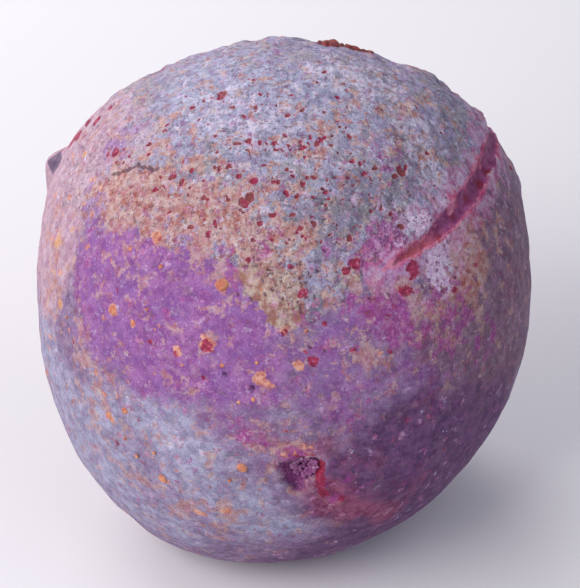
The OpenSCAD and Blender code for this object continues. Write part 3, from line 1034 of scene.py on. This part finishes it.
# %% The crust's relief and stains
flat = corners(crust)
top = flat[:, 2] > 0.5
d = laid_over_top(flat)
skin = skin_radius(d)
points = MIDDLE + skin[:, None] * d
torn_in = crust_inside(ragged(ragged(points, 3.5, 1.0, 60), 1.1, 0.4, 70))
pits = spotted(ragged(points, 1.0, 0.45, 80), PITS)
pinholes = spotted(points, PINHOLES)
raised = ramp(torn_in + 1.1 * grain(points, 2.2, 5) + 0.6 * grain(points, 0.9, 6), -0.4, 0.9)
height = rind_height(points) - 0.45 + 0.8 * raised
for strength, size_mm, seed in ((0.16, 2.2, 8), (0.12, 1.0, 9), (0.08, 0.55, 10)):
    height += raised * strength * grain(points, size_mm, seed)
height -= 0.5 * ramp(-torn_in, 0.4, 1.4)
height -= raised * (0.35 * ramp(pits, 0.2, 0.8) + 0.25 * pinholes)
radius = skin + np.where(top, height, rind_height(points) - UNDERSIDE_MM) * MM
put(crust, MIDDLE + radius[:, None] * d)
lowest, highest = height[top].min(), height[top].max()
print("the crust's top lies from", round(lowest, 1), "to", round(highest, 1), "mm off the smooth skin")
stains_and_shade(crust, points)
carry(crust, "pit", pits)
carry(crust, "pinhole", pinholes)
saw(crust)
settle(crust, "pale_crust")
wear(crust, weathered("pale_crust", crusted=True))

# %% [markdown]
# ## The healed crack
#
# A crack opened while the nodule lay in the ground, and magenta silica healed it. Its filling is a long
# narrow sheet that follows the crack. Both sides swell into pink lips, its middle has sunk, and its edges
# dive under the rind and the crust.

# %% Points along the crack
CRACK_STEPS = (26, 190)
CRACK_SPAN = (-CRACK_FOOT - 0.3, 46.0)
SIDE_ROOM = 0.9
FILLING_DEPTH_MM, FILLING_BACK = 2.2, 0.06 * MM


def on_crack(across, along, lift_mm):
    """Points at a place in the crack's own coordinates, lift_mm above the skin."""
    level = (across - CRACK_BEND * along ** 2)[:, None] * CRACK_ACROSS + along[:, None] * CRACK_ALONG
    level = level * MM
    out = np.full(len(across), 50.0)
    for _ in range(8):
        d = unit(level + (out * MM)[:, None] * CRACK_PLACE)
        reach = skin_radius(d)
        out = np.sqrt(np.maximum(reach ** 2 - (level ** 2).sum(axis=1), 1e-8)) / MM
    d = unit(level + (out * MM)[:, None] * CRACK_PLACE)
    return MIDDLE + (skin_radius(d) + lift_mm * MM)[:, None] * d


# %% The crack's filling
CRACK_CORES = [
    (-97, 37.5, 2.0, 0.8), (-84, 42, 2.0, 0.9), (-77, 43, 2.4, 1), (-68, 44, 1.6, 0.8), (-58, 44, 1.8, 0.9),
    (-49, 43, 1.8, 0.9), (-43, 42.5, 1.5, 0.8),
]

filling = flat_grid("healed_crack_piece", *CRACK_STEPS)
open_up(filling)
bpy.ops.mesh.extrude_region_move(TRANSFORM_OT_translate={"value": (0, 0, 1)})
bpy.ops.mesh.normals_make_consistent(inside=False)
close_up()
flat = corners(filling)
top = flat[:, 2] > 0.5
side = flat[:, 0] * 2
along = CRACK_SPAN[0] + (flat[:, 1] + 0.5) * (CRACK_SPAN[1] - CRACK_SPAN[0])
wobble = 0.35 * grain(np.stack([along, side * 3, 0 * along], axis=-1) * MM, 2.6, 93)
across = side * (crack_half(along) + SIDE_ROOM + wobble)
level = on_crack(across, along, np.zeros(len(flat)))
edge = np.abs(side)
profile = rind_height(level) - 0.55 + 0.65 * ramp(edge, 0.25, 0.8) - 1.0 * ramp(edge, 0.86, 1.0)
profile += 0.22 * grain(level, 1.8, 90) + 0.13 * grain(level, 0.8, 91)
put(filling, on_crack(across, along, np.where(top, profile, -FILLING_DEPTH_MM)))
carry(filling, "lip", np.exp(-((edge - 0.9) / 0.3) ** 2))
carry(filling, "core", spotted(ragged(level, 1.5, 0.6, 92), CRACK_CORES, soft=1.0))
carry(filling, "foot", 1 - ramp(along, -14, 4))
saw(filling, back=FILLING_BACK)
settle(filling, "healed_crack")


# %% The filling's finish
def crack_finish():
    stone = Stone("crack_filling", Roughness=0.5)
    middling, small, fine = stone.noise(2.2, 4, 0.6), stone.noise(0.8, 3, 0.7), stone.noise(0.35, 2)
    colour = stone.mix(middling.step(0.32, 0.66), srgb(118, 38, 92), srgb(158, 80, 134))
    core = stone.mask("core") + (middling - 0.5) * 1.8
    colour = stone.mix(core.step(0.0, 0.9), colour, srgb(130, 18, 56))
    lip = stone.mask("lip") + (middling - 0.5) * 2.2 + (small - 0.5) * 0.8
    lip_tone = stone.mix(small.step(0.36, 0.64), srgb(186, 70, 116), srgb(208, 124, 152))
    colour = stone.mix(lip.step(0.35, 1.25) * 0.9, colour, lip_tone)
    foot = stone.mask("foot") + (middling - 0.5) * 1.6
    foot_tone = stone.mix(small, srgb(176, 44, 72), srgb(206, 118, 110))
    colour = stone.mix(foot.step(0.3, 1.1) * 0.8, colour, foot_tone)
    light_specks = (fine * 0.5 + small * 0.5).step(0.36, 0.5)
    colour = stone.mix((1.0 - light_specks) * 0.35, colour, srgb(92, 30, 74))
    height = middling * 0.5 + small * 0.6 + fine * 0.4
    return stone.finish(colour, roughness=small * 0.3 + 0.45, height=height, height_mm=0.24)


wear(filling, crack_finish())

# %% [markdown]
# ## Ochre nodules and iron knobs
#
# Small knobs of other minerals sit half sunk in the skin. Each is a small ball, squashed toward the stone
# and made lumpy. Tiny ones lie between the ochre nodules, and each iron knob has a few smaller ones beside
# it, so that together they make a rough crest on the rim.

# %% Small lumps
def lumps(name, knobs, seed, subdivisions=3):
    """Lumpy balls in one piece. A knob is its direction, radius in mm, depth sunk in mm, and flatness."""
    balls = []
    for index, (way, radius_mm, sunk_mm, flat_share) in enumerate(knobs):
        deselect()
        bpy.ops.mesh.primitive_ico_sphere_add(subdivisions=subdivisions, radius=1)
        ball = named(name if index == 0 else f"{name}_{index}")
        d = unit(way)
        shape = corners(ball)
        lumpiness = 1 + 0.28 * grain(shape * MM * 3 + d, 2.2, seed + index)
        shape = shape * (radius_mm * lumpiness)[:, None]
        outward = shape @ d
        shape = shape - np.outer(outward * (1 - flat_share), d)
        put(ball, MIDDLE + skin_radius(d) * d + (shape - sunk_mm * d) * MM)
        balls.append(ball)
    return join(*balls)


# %% Ochre nodules
OCHRE_NODULES = [
    (51, 37, 1), (45.5, 41, 0.7), (44, 72, 0.9), (37, 12, 0.6), (41, 5, 0.55), (9, 5, 0.75),
    (28, 343, 0.7),
]
TINY_NODULES = 16

knobs = []
for a, b, size in OCHRE_NODULES:
    knobs.append((ring_direction(math.radians(a), math.radians(b)), 1.3 * size, 0.75 * size, 0.75))
draw = np.random.default_rng(71)
for _ in range(TINY_NODULES):
    way = toward(draw.uniform(-8, 62), draw.uniform(-12, 44))
    knobs.append((way, draw.uniform(0.25, 0.45), 0.25, 0.7))
ochre = lumps("ochre_nodules_piece", knobs, 200)
settle(ochre, "ochre_nodules")

# %% Iron knobs
IRON_KNOBS = [(-9.5, -15, 1.7), (-13, -15.3, 1.3), (-16.2, -15.6, 1.1)]
IRON_FROM_MIDDLE = 52
BESIDE_EACH = 5

knobs = []
for x, y, radius_mm in IRON_KNOBS:
    way = unit([x, y, math.sqrt(IRON_FROM_MIDDLE ** 2 - x ** 2 - y ** 2)])
    knobs.append((way, radius_mm, 0.75, 0.75))
    for _ in range(BESIDE_EACH):
        aside = unit(way + draw.uniform(0, 0.055, 3) * (1 - 2 * (draw.random() > 0.5), 0.5, 0.3))
        knobs.append((aside, radius_mm * draw.uniform(0.35, 0.7), 0.35, 0.8))
iron = lumps("iron_knobs_piece", knobs, 300)
settle(iron, "iron_knobs")


# %% The knobs' finish
def knob_finish(name, dark, light, dusted):
    stone = Stone(name, Roughness=0.7)
    middling, small = stone.noise(1.2, 3, 0.6), stone.noise(0.4, 3, 0.6)
    colour = stone.mix(middling.step(0.35, 0.65), dark, light)
    colour = stone.mix(small.step(0.58, 0.7) * 0.6, colour, dusted)
    return stone.finish(colour, height=middling * 0.5 + small * 0.5, height_mm=0.25)


wear(ochre, knob_finish("ochre", srgb(184, 98, 78), srgb(216, 148, 112), srgb(222, 186, 166)))
wear(iron, knob_finish("iron_red", srgb(96, 34, 38), srgb(150, 58, 56), srgb(178, 130, 140)))

# %% [markdown]
# ## The layers of agate
#
# Each layer is a bowl: out from the back pole along its outer wall, across the polished face, and back
# along its inner wall. A square grid is rolled up into this shape. Every corner keeps its depth, the share
# of the way in, so that fine growth lines can follow the layer round the face.

# %% Rolling a grid into a bowl
BOWL_SIDES, WALL_STEPS = 216, 22


def angle_at_face(b, share):
    """The angle from the back pole at which a boundary meets the polished face."""
    low, high = np.full(b.shape, 0.6), np.full(b.shape, math.radians(125))
    for _ in range(30):
        middle = (low + high) / 2
        behind = grown(ring_direction(middle, b), share)[..., 1] > FACE_Y
        low, high = np.where(behind, middle, low), np.where(behind, high, middle)
    return (low + high) / 2


def bowl(name, outer, inner, face_steps):
    """A layer of agate between two shares of the way in, with face_steps squares across its cut face."""
    total = 2 * WALL_STEPS + face_steps
    piece = flat_grid(name, BOWL_SIDES, total)
    flat = corners(piece) + 0.5
    b = flat[:, 0] * 2 * math.pi
    step = np.round(flat[:, 1] * total)
    on_face = np.clip((step - WALL_STEPS) / face_steps, 0, 1)
    share = outer + (inner - outer) * on_face
    out_along = np.minimum(step / WALL_STEPS, 1)
    back_along = np.minimum((total - step) / WALL_STEPS, 1)
    a = angle_at_face(b, share) * out_along * back_along
    put(piece, grown(ring_direction(a, b), share))
    carry(piece, "depth", share)
    open_up(piece)
    bpy.ops.mesh.remove_doubles(threshold=TOUCHING)
    bpy.ops.mesh.normals_make_consistent(inside=False)
    close_up()
    cut(piece, (0, 0, BASE_Z), (0, 0, -1))
    return piece


# %% The finish of polished agate
def lines(stone, position, detail=2.0):
    """Random values that change only with one number, so that they make lines."""
    return stone.node("ShaderNodeTexNoise", {"noise_dimensions": "1D"},
                      {"W": position, "Scale": 1.0, "Detail": detail, "Roughness": 0.6}, "Fac")


def agate(name, dark, light, line, per_share, wander=0.012, cloud=0.35):
    """Fine growth lines in three tones. They wander a little from the layer's depth."""
    stone = Stone(name, Roughness=0.12, Coat_Weight=0.6, Coat_Roughness=0.04, Subsurface_Weight=0.08,
                  Subsurface_Scale=0.003, Subsurface_Radius=(1.0, 0.45, 0.6), Specular_IOR_Level=0.55)
    broad, middling, small = stone.noise(9, 2), stone.noise(3, 3, 0.55), stone.noise(0.8, 2)
    depth = stone.mask("depth") + (broad - 0.5) * wander + (middling - 0.5) * wander * 0.35
    fine_lines = lines(stone, depth * per_share, 3.0)
    colour = stone.mix((fine_lines + (middling - 0.5) * cloud).step(0.3, 0.7), dark, light)
    hair = lines(stone, depth * per_share * 4.5 + 7.0, 1.0)
    colour = stone.mix(hair.step(0.58, 0.66) * 0.55, colour, line)
    colour = stone.mix(small.step(0.6, 0.75) * 0.15, colour, line)
    return stone.finish(colour)


# %% The six agate layers
# Node, slot, where the layer starts and ends, steps over its face, growth lines, and three tones.
BANDS = [
    ("grey_chalcedony", "grey_chalcedony", "grey", "magenta", 10, 90.0,
     (128, 108, 132), (188, 170, 192), (214, 206, 220)),
    ("magenta_band", "magenta_agate", "magenta", "white", 14, 60.0,
     (158, 22, 92), (214, 52, 132), (240, 150, 194)),
    ("white_band", "white_agate", "white", "rose", 8, 80.0,
     (232, 196, 214), (250, 240, 244), (255, 252, 252)),
    ("rose_band", "rose_agate", "rose", "lilac", 14, 70.0,
     (206, 84, 136), (234, 146, 180), (250, 208, 222)),
    ("lilac_band", "lilac_agate", "lilac", "hot_pink", 12, 70.0,
     (176, 128, 184), (216, 184, 220), (240, 226, 242)),
    ("hot_pink_band", "hot_pink_agate", "hot_pink", "lining", 10, 90.0,
     (214, 36, 118), (246, 96, 164), (252, 178, 208)),
]
for node, slot, starts, ends, face_steps, per_share, *tones in BANDS:
    band = bowl(node + "_piece", SHARES[starts], SHARES[ends], face_steps)
    settle(band, node)
    wear(band, agate(slot, *(srgb(*tone) for tone in tones), per_share))

# %% [markdown]
# ## The quartz lining and its points
#
# The last layer is milky quartz, and its inner wall is rough with small crystals. Clear pink points grow
# from it into the pocket. One point is modelled, then set all over the wall by the golden angle, which
# keeps the copies apart; each is turned, leaned and scaled a little differently.

# %% The lining
lining = bowl("quartz_lining_piece", SHARES["lining"], SHARES["pocket"], 22)
settle(lining, "quartz_lining")


def lining_finish():
    stone = Stone("milky_quartz", Roughness=0.16, Coat_Weight=0.5, Coat_Roughness=0.05,
                  Subsurface_Weight=0.15, Subsurface_Scale=0.004)
    broad, small = stone.noise(7, 2), stone.noise(1.2, 3)
    grains = stone.cells(1.3)
    depth = stone.mask("depth") + (broad - 0.5) * 0.02 + (small - 0.5) * 0.02
    colour = stone.mix(depth.step(0.74, 0.98), srgb(238, 222, 232), srgb(232, 150, 190))
    colour = stone.mix(lines(stone, depth * 40.0, 2.0).step(0.5, 0.7) * 0.5, colour, srgb(252, 246, 250))
    colour = stone.mix(grains.step(0.25, 0.6) * 0.25, colour, srgb(250, 214, 230))
    return stone.finish(colour)


wear(lining, lining_finish())

# %% One quartz point
PRISM_SHARE = 0.62


def quartz_point(name):
    """A six-sided prism of radius 1 and height 1 that ends in a pyramid; its foot is at the origin."""
    deselect()
    bpy.ops.mesh.primitive_cylinder_add(vertices=6, radius=1, depth=PRISM_SHARE,
                                        location=(0, 0, PRISM_SHARE / 2))
    bpy.ops.object.transform_apply(location=True, rotation=False, scale=False)
    point = named(name)
    open_up(point, "DESELECT")
    close_up()
    top_face = max(point.data.polygons, key=lambda p: p.center.z)
    top_face.select = True
    bpy.ops.object.mode_set(mode="EDIT")
    bpy.ops.mesh.extrude_region_move(TRANSFORM_OT_translate={"value": (0, 0, 1 - PRISM_SHARE)})
    bpy.ops.mesh.merge(type="CENTER")
    close_up()
    return point


# %% Many copies of it in one piece
def frame_along(out, spin):
    """Three directions at right angles, the last along out."""
    side = unit(np.cross(out, (0.3, 0.9, 0.31)))
    other = np.cross(out, side)
    c, s = math.cos(spin), math.sin(spin)
    return np.stack([c * side + s * other, c * other - s * side, out])


def planted(name, point, places):
    """One piece made of many copies of point. A place is its foot, direction, radius, length and spin."""
    shape = corners(point)
    faces = [list(p.vertices) for p in point.data.polygons]
    all_points, all_faces, tips = [], [], []
    for foot, out, radius, length, spin in places:
        turned = (shape * (radius, radius, length)) @ frame_along(unit(out), spin)
        all_faces += [[v + len(all_points) * len(shape) for v in face] for face in faces]
        all_points.append(turned + foot)
        tips.append(shape[:, 2])
    mesh = bpy.data.meshes.new(name)
    mesh.from_pydata(np.concatenate(all_points).tolist(), [], all_faces)
    piece = bpy.data.objects.new(name, mesh)
    bpy.context.scene.collection.objects.link(piece)
    carry(piece, "tip", np.concatenate(tips))
    return piece


# %% Places on the pocket's wall
GOLDEN_ANGLE = 137.508
ROOT_MM = 1.5
FULL_TURN = 6.28


def wall_places(count, which, radius_mm, length_mm, seed, spread=0.0):
    """Feet spread over the pocket's wall by the golden angle. None passes the polished face."""
    draw = np.random.default_rng(seed)
    places = []
    for i in range(count):
        if not which(i):
            continue
        a, b = math.acos(1 - 1.25 * (i + 0.5) / count), math.radians(GOLDEN_ANGLE * i)
        d = ring_direction(a, b)
        grow = draw.uniform(0.75, 1.15) if spread else 1.0
        lean = 0.12 * np.array([math.sin(math.radians(k * i)) for k in (73, 41, 97)])
        lean += spread * draw.normal(size=3)
        foot = grown(d, SHARES["pocket"]) + d * ROOT_MM * MM
        length = (length_mm * grow + ROOT_MM) * MM
        out = unit(lean - d)
        if (foot + out * length)[1] < FACE_Y + 0.4 * MM or foot[1] < FACE_Y + 1.2 * MM:
            continue
        places.append((foot, out, radius_mm * grow * MM, length, draw.uniform(0, FULL_TURN)))
    return places


def quartz_finish(name, root, tip, clear=0.22, roughness=0.07):
    stone = Stone(name, Roughness=roughness, Transmission_Weight=clear, IOR=1.54, Coat_Weight=clear)
    along = stone.mask("tip")
    cloudy = stone.noise(1.6, 3)
    colour = stone.mix((along + (cloudy - 0.5) * 0.6).step(0.1, 0.8), root, tip)
    return stone.finish(colour)


# %% Large, medium and small points
QUARTZ_POINTS = {
    "large_quartz_points": (
        srgb(250, 158, 204),
        wall_places(96, lambda i: i % 5 == 0, 2.4, 8, 81)
        + wall_places(131, lambda i: i % 3 == 1, 2.0, 6.5, 82, 0.1)),
    "medium_quartz_points": (
        srgb(248, 140, 194),
        wall_places(96, lambda i: i % 5 in (1, 3), 1.68, 5.2, 83)
        + wall_places(260, lambda i: True, 1.3, 4.0, 84, 0.14)),
    "small_quartz_points": (
        srgb(242, 116, 178),
        wall_places(96, lambda i: i % 5 in (2, 4), 1.2, 3.2, 85)
        + wall_places(900, lambda i: True, 0.85, 2.2, 86, 0.18)),
}
point = quartz_point("one_quartz_point")
for node, (tip_tone, places) in QUARTZ_POINTS.items():
    piece = planted(node + "_piece", point, places)
    stands_for(piece, node)
    wear(piece, quartz_finish(node, srgb(250, 226, 238), tip_tone))

# %% [markdown]
# ## The druse in the hollow
#
# A druse is a crust of tiny crystals side by side. This one is dark plum, and it stands on the floor of the
# hollow in the middle of the back. Copies of the same quartz point, spread by the golden angle, make it.

# %% The druse
DRUSE_POINTS = 44
draw = np.random.default_rng(88)
places = []
for i in range(DRUSE_POINTS):
    spread = 0.97 * math.sqrt(i / DRUSE_POINTS)
    turn = math.radians(GOLDEN_ANGLE * i)
    d = unit(np.array([spread * math.cos(turn), 0, spread * math.sin(turn)]) - HOLLOW_PLACE)
    size = draw.uniform(0.6, 1.0) * MM
    out = unit(-d + draw.normal(size=3) * 0.2)
    places.append((HOLLOW_MIDDLE + d * (HOLLOW_R * 0.97), out, 0.6 * size, size, draw.uniform(0, FULL_TURN)))
druse = planted("hollow_druse_piece", point, places)
bpy.data.objects.remove(point)
stands_for(druse, "hollow_druse")
druse_tones = srgb(104, 48, 100), srgb(146, 80, 132)
wear(druse, quartz_finish("dark_druse", *druse_tones, clear=0.0, roughness=0.35))
